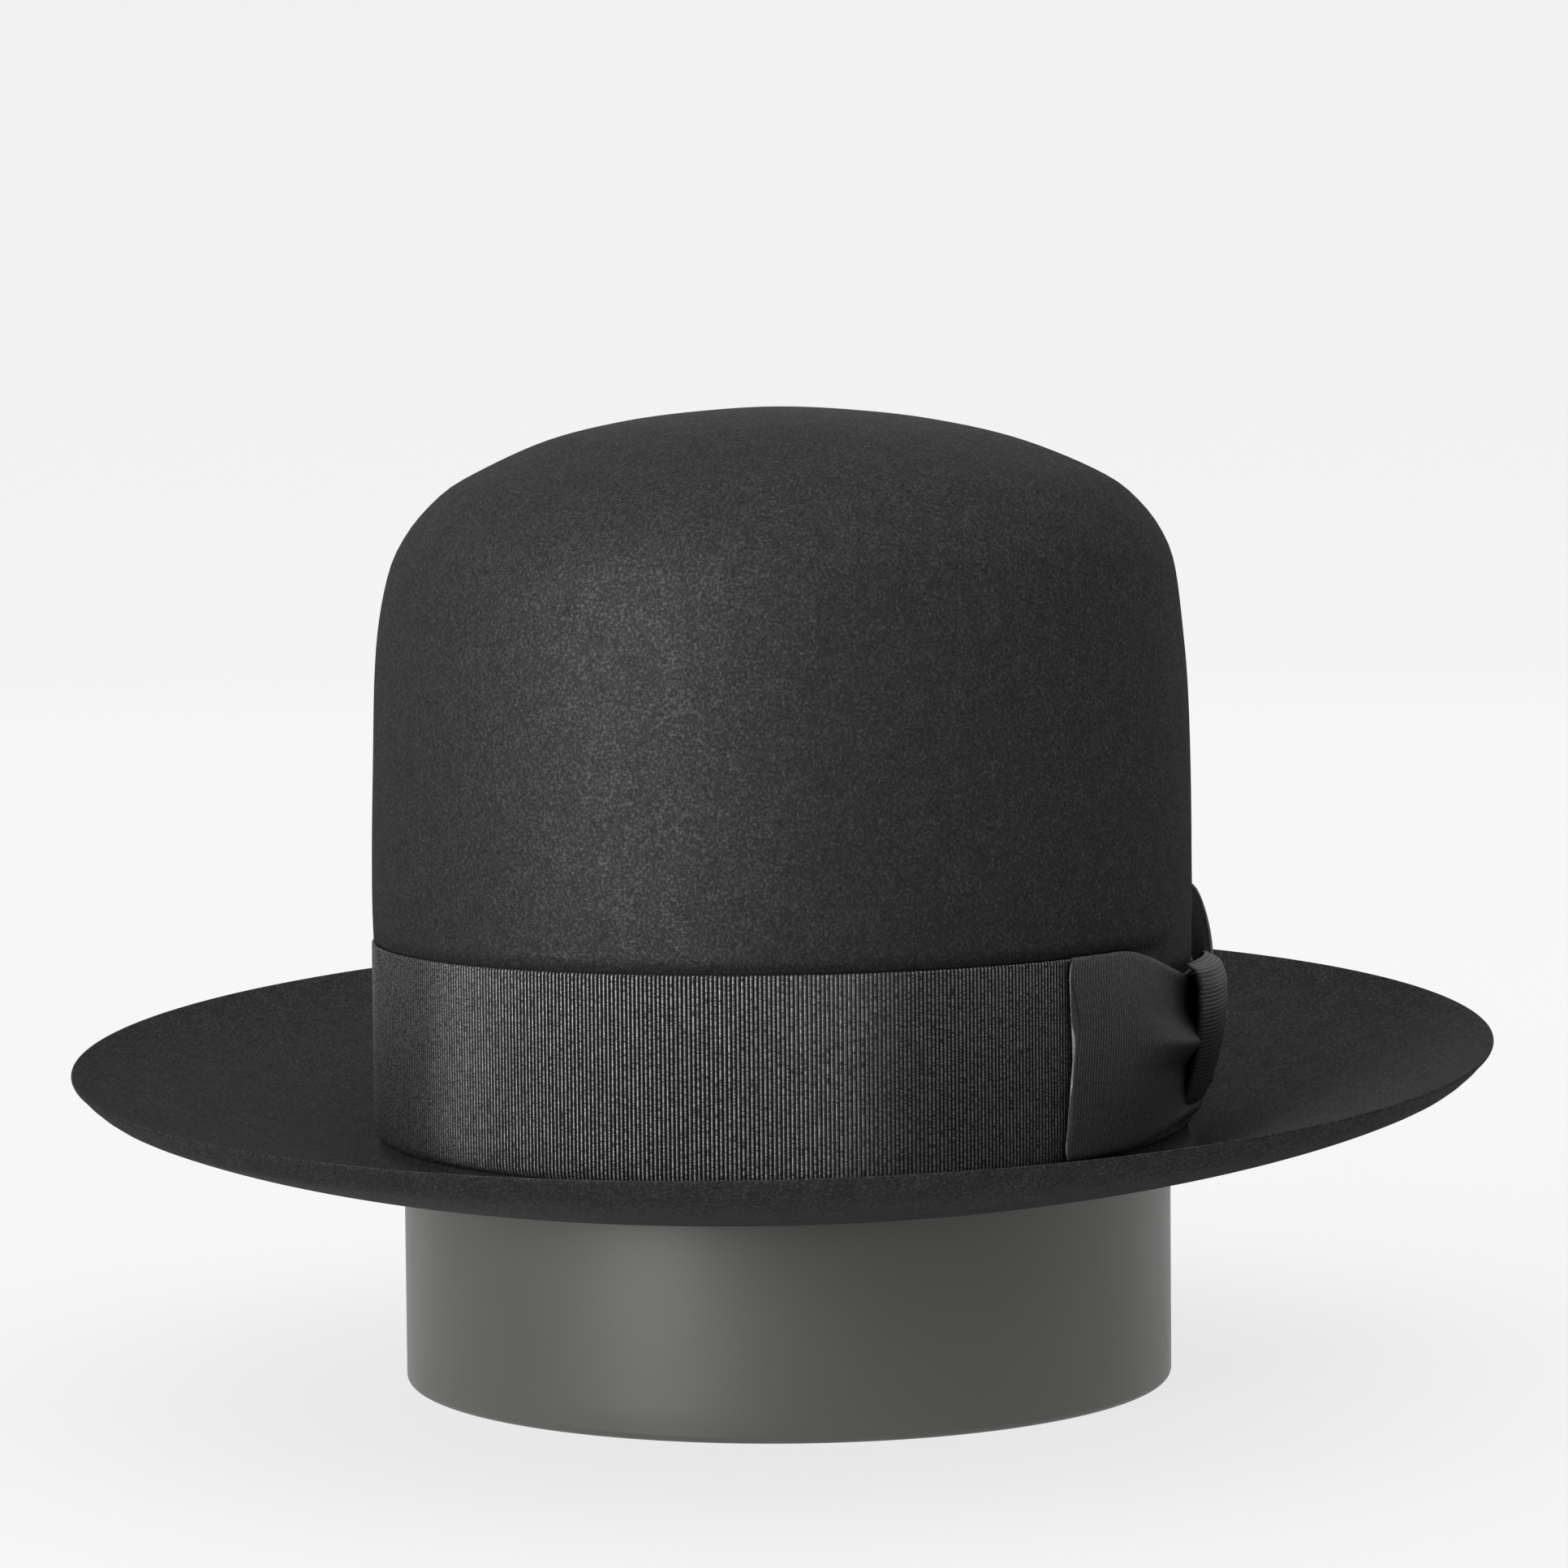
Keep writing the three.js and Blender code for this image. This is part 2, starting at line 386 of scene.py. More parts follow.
@dataclass(frozen=True)
class FurFelt:
    """Black fur felt, pounced and brushed: soft and matt, with a short nap whose fibres catch the light."""

    dark: str = "#171717"
    light: str = "#252525"
    grain_mm: float = 0.9  # tufts of the nap
    grain_detail: float = 3.0
    grain_roughness: float = 0.62
    tuft_span: tuple[float, float] = (0.32, 0.72)
    mottle_mm: float = 5.0  # slow change in how the nap lies
    mottle: float = 0.12  # the whole width of that change
    fibre_ior: float = 1.54  # keratin
    roughness: tuple[float, float] = (0.5, 0.75)
    # the nap glints alike from every side, because its loose fibres shade each other
    dull_gloss: str = "#181818"
    bright_gloss: str = "#484848"
    gloss_roughness: float = 0.57
    sheen: float = 0.024
    sheen_roughness: float = 0.3
    glint_mm: float = 0.55  # single tufts, which the gloss shows
    glint_grain_roughness: float = 0.7
    glint_span: tuple[float, float] = (0.42, 0.85)
    glint_strength: float = 1.0
    glint_bump_mm: float = 0.2
    bump_mm: float = 0.12
    bump_strength: float = 0.9

    def build(self) -> bpy.types.Material:
        """Makes the material.

        Returns:
            The material, with its grain in the colour, the roughness and the bump.
        """
        material = new_material("brushed_fur_felt")
        tree = material.node_tree
        place = add_node(tree, "ShaderNodeTexCoord").outputs["Object"]
        grain = noise(tree, place, self.grain_mm, self.grain_detail, self.grain_roughness)
        tufts = remap(tree, grain, self.tuft_span)
        slow = noise(tree, place, self.mottle_mm)
        drift = reckon(tree, "MULTIPLY_ADD", slow, self.mottle, -self.mottle / 2)
        shader = add_node(
            tree,
            "ShaderNodeBsdfPrincipled",
            values={
                "IOR": self.fibre_ior,
                "Specular IOR Level": 0.0,
                "Sheen Weight": self.sheen,
                "Sheen Roughness": self.sheen_roughness,
            },
            links={
                "Base Color": mix_colours(tree, reckon(tree, "ADD", tufts, drift), self.dark, self.light),
                "Roughness": remap(tree, tufts, (0.0, 1.0), self.roughness[::-1]),
                "Normal": bump(tree, grain, self.bump_mm, self.bump_strength),
            },
        )
        tilt = noise(tree, place, self.glint_mm, roughness=self.glint_grain_roughness)
        chance = remap(tree, reckon(tree, "ADD", tilt, drift), self.glint_span, kind="SMOOTHSTEP")
        glint = add_node(
            tree,
            "ShaderNodeBsdfAnisotropic",
            values={"Roughness": self.gloss_roughness},
            links={
                "Color": mix_colours(tree, chance, self.dull_gloss, self.bright_gloss),
                "Normal": bump(tree, tilt, self.glint_bump_mm, self.glint_strength),
            },
        )
        show(tree, shader, glint)
        return material


@dataclass(frozen=True)
class Grosgrain:
    """Black rayon grosgrain: smooth round ribs that glint bead by bead, with furrows between them whose shade
    is painted darker in colour and gloss.
    """

    name: str = "rayon_grosgrain"
    dark: str = "#161616"
    light: str = "#1e1e1e"
    # painted shade: the colour that base colour and gloss turn to in the furrows between the ribs
    furrow_shade: str = "#101010"
    rib_mm: float = 0.88
    furrow_shade_span: tuple[float, float] = (0.12, 0.34)  # from a rib's top, in ribs: where the painted shade of a furrow starts and where it is full
    rib_curve: float = 3.96  # how far the bump falls to the furrow, where 4 is a half circle
    bead_mm: float = 0.32  # how far apart the glints on a rib are
    bead_span: tuple[float, float] = (0.3, 0.7)
    row_step: float = 17.37  # takes each rib to a part of the noise of its own
    thread_ior: float = 1.53  # rayon
    specular: float = 0.05
    roughness: float = 0.6
    # the warp threads run over the ribs, so the gloss is narrow across the ribs and wide along them
    dull_gloss: str = "#2c2c2c"
    bright_gloss: str = "#8a8a8a"
    gloss_roughness: float = 0.4
    anisotropy: float = 0.6
    rib_bump_mm: float = 0.12
    bead_bump: float = 0.35  # the beads' share of the bump
    bump_strength: float = 1.0

    def build(self) -> bpy.types.Material:
        """Makes the material. The cloth's X crosses the ribs, which the mesh has too and the bump rounds.

        Returns:
            The material, with a tone, gloss and tilt of its own for each bead.
        """
        material = new_material(self.name)
        tree = material.node_tree
        cloth = add_node(tree, "ShaderNodeUVMap", {"uv_map": UV_NAME}).outputs["UV"]
        parts = add_node(tree, "ShaderNodeSeparateXYZ", links={0: cloth})
        ribs = reckon(tree, "DIVIDE", parts.outputs["X"], self.rib_mm * MM)
        number = reckon(tree, "ROUND", ribs)
        off_top = reckon(tree, "ABSOLUTE", reckon(tree, "SUBTRACT", ribs, number))
        # share of painted furrow shade, 0 on a rib's top and 1 in a furrow
        furrow_shade_share = remap(tree, off_top, self.furrow_shade_span, kind="SMOOTHSTEP")
        along = reckon(tree, "DIVIDE", parts.outputs["Y"], self.bead_mm * MM)
        own_row = reckon(tree, "MULTIPLY", number, self.row_step)
        beads = add_node(
            tree,
            "ShaderNodeTexNoise",
            {"noise_dimensions": "2D"},
            {"Scale": 1.0, "Detail": 1.0},
            {"Vector": add_node(tree, "ShaderNodeCombineXYZ", links={"X": own_row, "Y": along}).outputs[0]},
        ).outputs["Fac"]
        chance = remap(tree, beads, self.bead_span)
        thread = mix_colours(tree, chance, self.dark, self.light)
        lustre = mix_colours(tree, chance, self.dull_gloss, self.bright_gloss)
        fall = reckon(tree, "MULTIPLY_ADD", reckon(tree, "MULTIPLY", off_top, off_top), -self.rib_curve, 1.0)
        height = reckon(tree, "MULTIPLY_ADD", beads, self.bead_bump, reckon(tree, "SQRT", fall))
        weave = bump(tree, height, self.rib_bump_mm, self.bump_strength)
        shader = add_node(
            tree,
            "ShaderNodeBsdfPrincipled",
            values={"IOR": self.thread_ior, "Specular IOR Level": self.specular, "Roughness": self.roughness},
            # painted shade: the base colour darkens in the furrows
            links={"Base Color": mix_colours(tree, furrow_shade_share, thread, self.furrow_shade), "Normal": weave},
        )
        warp = add_node(tree, "ShaderNodeTangent", {"direction_type": "UV_MAP", "uv_map": UV_NAME})
        glint = add_node(
            tree,
            "ShaderNodeBsdfAnisotropic",
            values={"Roughness": self.gloss_roughness, "Anisotropy": self.anisotropy},
            links={
                # painted shade: the gloss dims to the furrow colour between the ribs
                "Color": mix_colours(tree, furrow_shade_share, lustre, self.furrow_shade),
                "Normal": weave,
                "Tangent": warp.outputs["Tangent"],
            },
        )
        show(tree, shader, glint)
        return material


@dataclass(frozen=True)
class SatinPaint:
    """Warm grey satin paint, sprayed on a moulded column: soft broad highlights and a faint orange peel."""

    base: str = "#383734"
    worn: str = "#403f3b"
    smudge_mm: float = 28.0
    smudge_detail: float = 4.0
    smudge_roughness: float = 0.6
    smudge_span: tuple[float, float] = (0.3, 0.7)
    peel_mm: float = 1.1
    paint_ior: float = 1.5
    specular: float = 0.7
    roughness: tuple[float, float] = (0.42, 0.5)
    bump_mm: float = 0.03
    bump_strength: float = 0.35

    def build(self) -> bpy.types.Material:
        """Makes the material.

        Returns:
            The material, with slow smudges in colour and gloss.
        """
        material = new_material("satin_paint")
        tree = material.node_tree
        place = add_node(tree, "ShaderNodeTexCoord").outputs["Object"]
        smudge = noise(tree, place, self.smudge_mm, self.smudge_detail, self.smudge_roughness)
        peel = noise(tree, place, self.peel_mm, 1.0)
        shader = add_node(
            tree,
            "ShaderNodeBsdfPrincipled",
            values={"IOR": self.paint_ior, "Specular IOR Level": self.specular},
            links={
                "Base Color": mix_colours(tree, smudge, self.base, self.worn),
                "Roughness": remap(tree, smudge, self.smudge_span, self.roughness),
                "Normal": bump(tree, peel, self.bump_mm, self.bump_strength),
            },
        )
        show(tree, shader)
        return material


@dataclass(frozen=True)
class StudioPaper:
    """Pale background paper, matt and even, with a barely visible tooth; it glows as painted light that
    stands in for light behind it, fading to nothing near the camera.
    """

    pale: str = "#606060"
    paler: str = "#646463"
    # painted light: strength of the glow that the paper gives off though it is no lamp
    glow: float = 0.75
    glow_span: tuple[float, float] = (-1.1, -0.25)  # metres: painted light, the paper's glow fades to nothing towards the camera
    tooth_mm: float = 3.0
    roughness: float = 0.95
    specular: float = 0.1

    def build(self) -> bpy.types.Material:
        """Makes the material.

        Returns:
            The material of the floor and backdrop.
        """
        material = new_material("background_paper")
        tree = material.node_tree
        place = add_node(tree, "ShaderNodeTexCoord").outputs["Object"]
        depth = add_node(tree, "ShaderNodeSeparateXYZ", links={0: place}).outputs["Y"]
        tooth = noise(tree, place, self.tooth_mm)
        shader = add_node(
            tree,
            "ShaderNodeBsdfPrincipled",
            values={
                "Roughness": self.roughness,
                "Specular IOR Level": self.specular,
                "Emission Color": (1.0, 1.0, 1.0, 1.0),
            },
            links={
                "Base Color": mix_colours(tree, tooth, self.pale, self.paler),
                # painted light: the paper glows by how far it lies from the camera
                "Emission Strength": remap(tree, depth, self.glow_span, (0.0, self.glow), "SMOOTHSTEP"),
            },
        )
        show(tree, shader)
        return material


@dataclass(frozen=True)
class HatForm:
    """The oval that every piece of the hat follows, with the same sizes as the part's source."""

    ribbon_foot: float = 55.0  # height of the ribbon's lower edge above the surface under the stand
    felt: float = 2.4
    brim_felt: float = 3.0
    ribbon: float = 1.0
    ribbon_height: float = 41.3
    ribbon_half_width: float = 88.0
    gap: float = 0.3
    crown_ratio: float = 1.18
    brim_half_width: float = 152.0
    brim_half_length: float = 165.8
    break_depth: float = 4.7
    rise: float = 18.2
    rise_behind: float = 8.2
    curl: float = 0.3
    curl_power: float = 5.0
    hollow: float = -0.9
    hollow_front: float = 1.9
    lean: float = 1.2
    lean_rise: tuple[float, float] = (104.0, 138.0)  # heights between which the crown leans over
    lean_fall: tuple[float, float] = (140.0, 155.0)  # heights between which its top comes back
    lean_back: float = 1.5  # and how far past the middle it comes, for each part of the lean
    wrap_from: float = 84.6
    wrap_to: float = 97.2
    bow_reach: float = 21.5
    ribbon_dip: float = 8.0
    rib: float = 0.88  # from one rib of the grosgrain to the next
    steps_per_rib: int = 4

    @property
    def crown_under_ribbon(self) -> float:
        """Half width of the felt under the ribbon."""
        return self.ribbon_half_width - self.ribbon - self.gap

    @property
    def fine_turns(self) -> np.ndarray:
        """Close turns from a little before the back of the crown, round to a little past it."""
        return np.radians(np.linspace(-200, 200, 16001))

    def half_length(self, half_width: Any) -> np.ndarray:
        """Distance from the middle to the front of an oval.

        Args:
            half_width: Half width of the oval.

        Returns:
            Its half length, by the crown's ratio up to the ribbon and by the brim's own shape outside it.
        """
        half_width = np.asarray(half_width, float)
        crown = half_width * self.crown_ratio
        out = (half_width - self.ribbon_half_width) / (self.brim_half_width - self.ribbon_half_width)
        start = self.ribbon_half_width * self.crown_ratio
        brim = start + (self.brim_half_length - start) * out
        return np.where(half_width <= self.ribbon_half_width, crown, brim)

    def brim_sweep(self, half_width: Any, turn: Any) -> np.ndarray:
        """Height that the brim's sweep adds.

        Args:
            half_width: Half width of the oval that the place is on.
            turn: Turn round the crown, in radians.

        Returns:
            Height in millimetres, nothing at the crown.
        """
        out = (np.asarray(half_width, float) - self.ribbon_half_width) / (
            self.brim_half_width - self.ribbon_half_width
        )
        out = np.clip(out, 0, None)
        front = np.cos(turn)
        climb = self.rise - self.rise_behind * front
        curve = self.curl * out**self.curl_power + (1 - self.curl) * out
        hollow = (self.hollow + self.hollow_front * front) * np.sin(math.pi * out)
        return self.break_depth * out + climb * curve - hollow

    def crown_lean(self, height: Any) -> np.ndarray:
        """Sideways offset of the crown.

        Args:
            height: Height above the ribbon's foot.

        Returns:
            The offset in millimetres.
        """
        back = self.lean_back * smooth(*self.lean_fall, height)
        return self.lean * smooth(*self.lean_rise, height) * (1 - back)

    def held_share(self, turn: Any) -> np.ndarray:
        """How firmly the strap draws the ribbon together.

        Args:
            turn: Turn round the crown, in radians.

        Returns:
            1 at the strap, falling to 0 on either side of the bow.
        """
        degrees = np.degrees(turn)
        before = smooth(self.wrap_from - self.bow_reach, self.wrap_from, degrees)
        after = 1 - smooth(self.wrap_to, self.wrap_to + self.bow_reach, degrees)
        return np.minimum(before, after)

    def place(self, half_width: Any, turn: Any, height: Any) -> np.ndarray:
        """A place on the hat.

        Args:
            half_width: Half width of its oval.
            turn: Turn round the crown from the front, in radians.
            height: Height above the ribbon's foot.

        Returns:
            Its point in metres, with the coordinates last.
        """
        x = half_width * np.sin(turn)
        y = -self.half_length(half_width) * np.cos(turn)
        return spread(x, y, self.ribbon_foot + np.asarray(height)) * MM

    def ribs(self, count: int) -> np.ndarray:
        """Places of a row of points across the ribs.

        Args:
            count: How many points.

        Returns:
            The places, counted in ribs.
        """
        return np.arange(count) / self.steps_per_rib

    def along_ribbon(self, turn: Any) -> np.ndarray:
        """Distance along the ribbon from the front.

        Args:
            turn: Turns round the crown, in radians.

        Returns:
            The distance in millimetres for each turn.
        """
        steps = self.fine_turns
        speed = np.hypot(
            self.ribbon_half_width * np.cos(steps),
            self.ribbon_half_width * self.crown_ratio * np.sin(steps),
        )
        run = np.concatenate([[0], np.cumsum((speed[1:] + speed[:-1]) / 2 * np.diff(steps))])
        run -= np.interp(0, steps, run)
        return np.interp(turn, steps, run)

    def turn_along(self, distance: Any) -> np.ndarray:
        """The turn that a distance along the ribbon leads to.

        Args:
            distance: Distances from the front, in millimetres.

        Returns:
            The turn for each, in radians.
        """
        steps = self.fine_turns
        return np.interp(distance, self.along_ribbon(steps), steps)


@dataclass
class FeltBody:
    """Crown and brim, blocked in one piece from one felt."""

    form: HatForm
    finish: bpy.types.Material
    # half width and height of the crown's outside above the ribbon, from the ribbon to the top
    crown: Sequence[tuple[float, float]] = (
        (87.6, 41.8),
        (87.8, 52.0),
        (87.5, 74.0),
        (86.7, 99.0),
        (84.3, 117.7),
        (81.1, 126.7),
        (75.5, 134.1),
        (68.0, 139.8),
        (51.1, 147.3),
        (33.7, 151.6),
        (16.7, 153.8),
        (0.0, 154.7),
    )
    around: int = 360
    line_steps: int = 24  # between two known places of the crown
    break_steps: int = 10
    crown_rows: int = 60
    wall_rows: int = 20
    brim_rows: int = 34
    edge_rows: int = 5
    edge_rounding: float = 0.5
    taper: float = 7.0  # the brim thins from below towards its edge, over this width
    break_radius: float = 3.2
    bare_swell: float = 0.9  # where the bow pulls the ribbon down, the felt above it isn't pressed in
    bare_foot: tuple[float, float] = (32.5, 35.5)  # heights where that swell starts
    bare_top: tuple[float, float] = (41.3, 41.8)  # and where it ends
    unevenness: float = 0.10  # how far hand blocking leaves the felt from a true surface
    uneven_from: tuple[float, float] = (44.0, 60.0)  # heights where it starts
    even_middle: float = 40.0  # half width of the top inside which it fades
    cloth_round: float = 0.6  # metres of cloth round the felt

    def crown_line(self, offset: float) -> np.ndarray:
        """The crown's side view, moved inwards.

        Args:
            offset: Distance inwards from the outside.

        Returns:
            Half widths and heights from the top down to the ribbon.
        """
        known = np.array(self.crown)
        first = known[:1]
        mirrored = known[-2:-1] * (-1, 1)
        held = np.vstack([first, known, mirrored])
        points, slopes = [], []
        for i in range(len(known) - 1):
            p0, p1, p2, p3 = held[i : i + 4]
            v0, v1 = (p2 - p0) / 2, (p3 - p1) / 2
            for t in np.linspace(0, 1, self.line_steps, endpoint=i == len(known) - 2):
                points.append(
                    (2 * p1 - 2 * p2 + v0 + v1) * t**3 + (-3 * p1 + 3 * p2 - 2 * v0 - v1) * t**2 + v0 * t + p1
                )
                slopes.append(
                    3 * (2 * p1 - 2 * p2 + v0 + v1) * t**2 + 2 * (-3 * p1 + 3 * p2 - 2 * v0 - v1) * t + v0
                )
        points, slopes = np.array(points), np.array(slopes)
        slopes /= np.linalg.norm(slopes, axis=1)[:, None]
        points += np.stack([-slopes[:, 1], slopes[:, 0]], -1) * offset
        run = run_along(points)
        at = np.linspace(0, run[-1], self.crown_rows)
        line = np.stack([np.interp(at, run, points[:, i]) for i in (0, 1)], -1)
        return line[::-1]

    def break_line(self, wall: float, depth: float, radius: float) -> np.ndarray:
        """Quarter round from the crown's wall into the brim.

        Args:
            wall: Half width of the wall.
            depth: How far below the ribbon's foot the brim lies.
            radius: Radius of the round.

        Returns:
            Half widths and heights from the wall outwards.
        """
        angle = np.radians(np.linspace(0, 90, self.break_steps))
        return np.stack([wall + radius * (1 - np.cos(angle)), -depth + radius * (1 - np.sin(angle))], -1)

    def profile(self) -> np.ndarray:
        """The felt's section.

        Returns:
            Half widths and heights from the top outside, round the brim's edge, to the top inside.
        """
        form = self.form
        wall = form.crown_under_ribbon
        low = form.break_depth + form.brim_felt
        corner = form.brim_half_width - self.edge_rounding
        outer = self.break_line(wall, form.break_depth, self.break_radius)
        inner = self.break_line(wall - form.felt, low, self.break_radius + form.felt)
        sweep = np.linspace(0, 1, self.brim_rows)[1:]
        angle = np.radians(np.linspace(90, 0, self.edge_rows))[1:]
        above = np.stack(
            [
                corner + self.edge_rounding * np.cos(angle),
                -form.break_depth - self.edge_rounding * (1 - np.sin(angle)),
            ],
            -1,
        )
        below = above[::-1] * (1, -1) - (0, 2 * (form.break_depth + self.edge_rounding))
        brim = outer[-1, 0] + (corner - outer[-1, 0]) * sweep
        under = inner[-1, 0] + (corner - inner[-1, 0]) * sweep
        thinned = np.clip((under - corner) / self.taper + 1, 0, 1) ** 2
        under_height = (form.brim_felt - 2 * self.edge_rounding) * thinned - low
        wall_steps = np.linspace(form.ribbon_height, outer[0, 1], self.wall_rows + 1)[:-1]
        return np.vstack(
            [
                self.crown_line(0)[1:],
                np.stack([np.full(self.wall_rows, wall), wall_steps], -1),
                outer,
                np.stack([brim, np.full(len(brim), -form.break_depth)], -1),
                above,
                below,
                np.stack([under, under_height], -1)[::-1],
                inner[::-1],
                np.stack([np.full(self.wall_rows, wall - form.felt), wall_steps], -1)[::-1],
                self.crown_line(form.felt)[::-1][:-1],
            ]
        )

    def waver(self, turn: np.ndarray, height: np.ndarray) -> np.ndarray:
        """Slow waves round and up the crown that never line up, as hand blocking leaves them.

        Args:
            turn: Turn round the crown, in radians.
            height: Height above the ribbon's foot.

        Returns:
            The waves, between -2 and 2.
        """
        return np.sin(5 * turn + height / 17) + np.sin(9 * turn - height / 11 + 2) * np.sin(height / 23 + 1)

    def build(self) -> bpy.types.Object:
        """Makes the felt.

        Returns:
            The dressed piece.
        """
        line = self.profile()
        turn = np.linspace(-math.pi, math.pi, self.around, endpoint=False)[None]
        half_width, height = line[:, :1], line[:, 1:]
        bare = smooth(*self.bare_foot, height) * (1 - smooth(*self.bare_top, height))
        half_width = half_width + self.bare_swell * bare * self.form.held_share(turn)
        points = self.form.place(half_width, turn, height)
        points[..., 0] += self.form.crown_lean(height) * MM
        points[..., 2] += self.form.brim_sweep(half_width, turn) * MM
        share = smooth(*self.uneven_from, height) * smooth(0, self.even_middle, half_width)
        push = self.waver(turn, height) * self.unevenness * share * MM
        points[..., 0] += push * np.sin(turn)
        points[..., 1] -= push * np.cos(turn)
        run = run_along(line) * MM
        cloth = spread(np.linspace(0, self.cloth_round, self.around + 1)[None], run[:, None])
        piece = skin("felt_crown_and_brim", points, cloth, closed=False)
        return dress(piece, self.finish, "felt_body")


@dataclass
class RibbonBand:
    """The grosgrain ribbon round the foot of the crown, with every rib in the mesh."""

    form: HatForm
    finish: bpy.types.Material
    rib_depth: float = 0.2
    ribbed_from: tuple[float, float] = (-0.6, -0.1)  # how far in the edges' rounding the ribs start
    inner_width: float = 0.04  # metres of cloth across the ribbon's inside
    # how far the ribbon's outside stands inside its half width, from its lower edge to its upper
    section: Sequence[tuple[float, float]] = (
        (-1.0, 0.1),
        (-0.85, -0.05),
        (-0.6, 0.15),
        (-0.3, 0.6),
        (-0.08, 1.3),
        (0.0, 2.4),
    )
    upper: Sequence[tuple[float, float]] = (
        (0.0, 40.3),
        (0.0, 40.7),
        (-0.03, 41.0),
        (-0.2, 41.25),
        (-0.55, 41.3),
        (-1.0, 41.15),
    )
    middle_rows: int = 8

    def build(self) -> bpy.types.Object:
        """Makes the ribbon.

        Returns:
            The dressed piece.
        """
        form = self.form
        heights = np.linspace(self.section[-1][1], self.upper[0][1], self.middle_rows)[1:-1]
        middle = np.stack([np.zeros(len(heights)), heights], -1)
        line = np.vstack([self.section, middle, self.upper])
        length = form.along_ribbon(math.pi) * 2
        around = round(length / form.rib) * form.steps_per_rib
        distance = np.linspace(-length / 2, length / 2, around + 1)
        turn = form.turn_along(distance)
        offset, height = line[:, :1], line[:, 1:]
        outside = smooth(*self.ribbed_from, offset)
        ripple = self.rib_depth * (rib_rise(form.ribs(around)) - 1)[None] * outside
        half_width = form.ribbon_half_width + offset + ripple
        points = form.place(half_width, turn[None, :-1], height)
        rise = smooth(0, 1, height / form.ribbon_height)
        points[..., 2] -= form.ribbon_dip * form.held_share(turn[None, :-1]) * rise * MM
        across = form.ribs(around + 1) * form.rib
        cloth = spread(across[None] * MM, run_along(line)[:, None] * MM)
        cloth = np.vstack([cloth, cloth[-1:] + (0, self.inner_width)])
        piece = skin("ribbon_round_crown", points, cloth, closed=True)
        return dress(piece, self.finish, "ribbon_band")


@dataclass
class BowLeaf:
    """One leaf of the bow: the ribbon doubled back at a fold, its other end drawn in under the strap."""

    form: HatForm
    finish: bpy.types.Material
    name: str
    node: str
    fold_turn: Sequence[tuple[float, float]]  # turn of the fold in degrees, by share of the height
    held_turn: float  # turn where the leaf ends under the strap
    free_foot: float
    free_top: float
    free_lift: float
    held_foot: float
    held_top: float
    held_lift: float
    # how far the leaf's outside stands off at the strap, by share of the height
    folds: Sequence[tuple[float, float]]
    thickness: float = 1.1
    puff: float = 1.6
    rib_depth: float = 0.04
    rib_at_fold: float = 0.15  # the fold is on a rib's flank, whose gloss draws its edge
    fold_round: float = 0.6  # length of the fold's rounding, in thicknesses
    fold_thickness: float = 0.15  # share of the thickness at the fold
    edge_thickness: float = 0.55  # share of the thickness at the selvedges
    edge_share: float = 0.03  # share of the height that a selvedge takes
    rows: int = 64

    def lift(self, along: np.ndarray, up: np.ndarray, held: np.ndarray) -> np.ndarray:
        """How far the leaf's outside stands off the ribbon.

        Args:
            along: Share of the way from the fold to the held end.
            up: Share of the way from the lower edge to the upper.
            held: How firmly the strap holds it there, from 0 to 1.

        Returns:
            The lift in millimetres.
        """
        base = (self.free_lift + self.thickness) * (1 - held) + self.held_lift * held
        swell = self.puff * np.sin(math.pi * np.clip(along, 0, 1)) ** 2 * np.sin(math.pi * up) ** 0.8
        return base + between(self.folds, up) * held + swell * (1 - held) ** 0.5

    def build(self) -> bpy.types.Object:
        """Makes the leaf.

        Returns:
            The dressed piece.
        """
        form = self.form
        fold_mean = float(np.mean([row[1] for row in self.fold_turn]))
        start, end = (float(form.along_ribbon(math.radians(t))) for t in (fold_mean, self.held_turn))
        count = int(abs(end - start) / form.rib * form.steps_per_rib)
        along = np.linspace(0, 1, count)
        up = np.linspace(0, 1, self.rows)
        loop_up = np.concatenate([up, up[::-1]])
        outer = np.concatenate([np.ones(self.rows), np.zeros(self.rows)])
        shift = np.radians(between(self.fold_turn, loop_up) - fold_mean)[None]
        turn = form.turn_along(start + (end - start) * along)[:, None] + shift * (1 - along[:, None]) ** 2
        held = form.held_share(turn)
        foot = self.free_foot + (self.held_foot - self.free_foot) * held
        top = self.free_top + (self.held_top - self.free_top) * held
        nose = np.clip(along[:, None] * abs(end - start) / (self.thickness * self.fold_round), 0, 1)
        nose = np.sqrt(1 - (1 - nose) ** 2)
        ribs = form.ribs(count) + self.rib_at_fold
        outside = self.lift(along[:, None], loop_up[None], held)
        edge = smooth(0, self.edge_share, loop_up[None]) * smooth(0, self.edge_share, 1 - loop_up[None])
        ripple = (rib_rise(ribs) - 1)[:, None] * self.rib_depth * edge
        middle = outside - self.thickness / 2
        at_fold = self.fold_thickness + (1 - self.fold_thickness) * nose
        at_edge = self.edge_thickness + (1 - self.edge_thickness) * edge
        half = self.thickness / 2 * at_fold * at_edge
        lift = middle + np.where(outer[None] > 0.5, half + ripple * nose, -half)
        height = foot + (top - foot) * loop_up[None]
        points = form.place(form.ribbon_half_width + form.gap + lift, turn, height)
        across = ribs * form.rib
        cloth_up = np.concatenate([height.mean(0), height.mean(0)[:1]])
        cloth = spread(across[:, None] * MM, cloth_up[None] * MM)
        if end > start:
            points, cloth = points[:, ::-1], cloth[:, ::-1]
        piece = skin(self.name, points, cloth, closed=False)
        return dress(piece, self.finish, self.node)


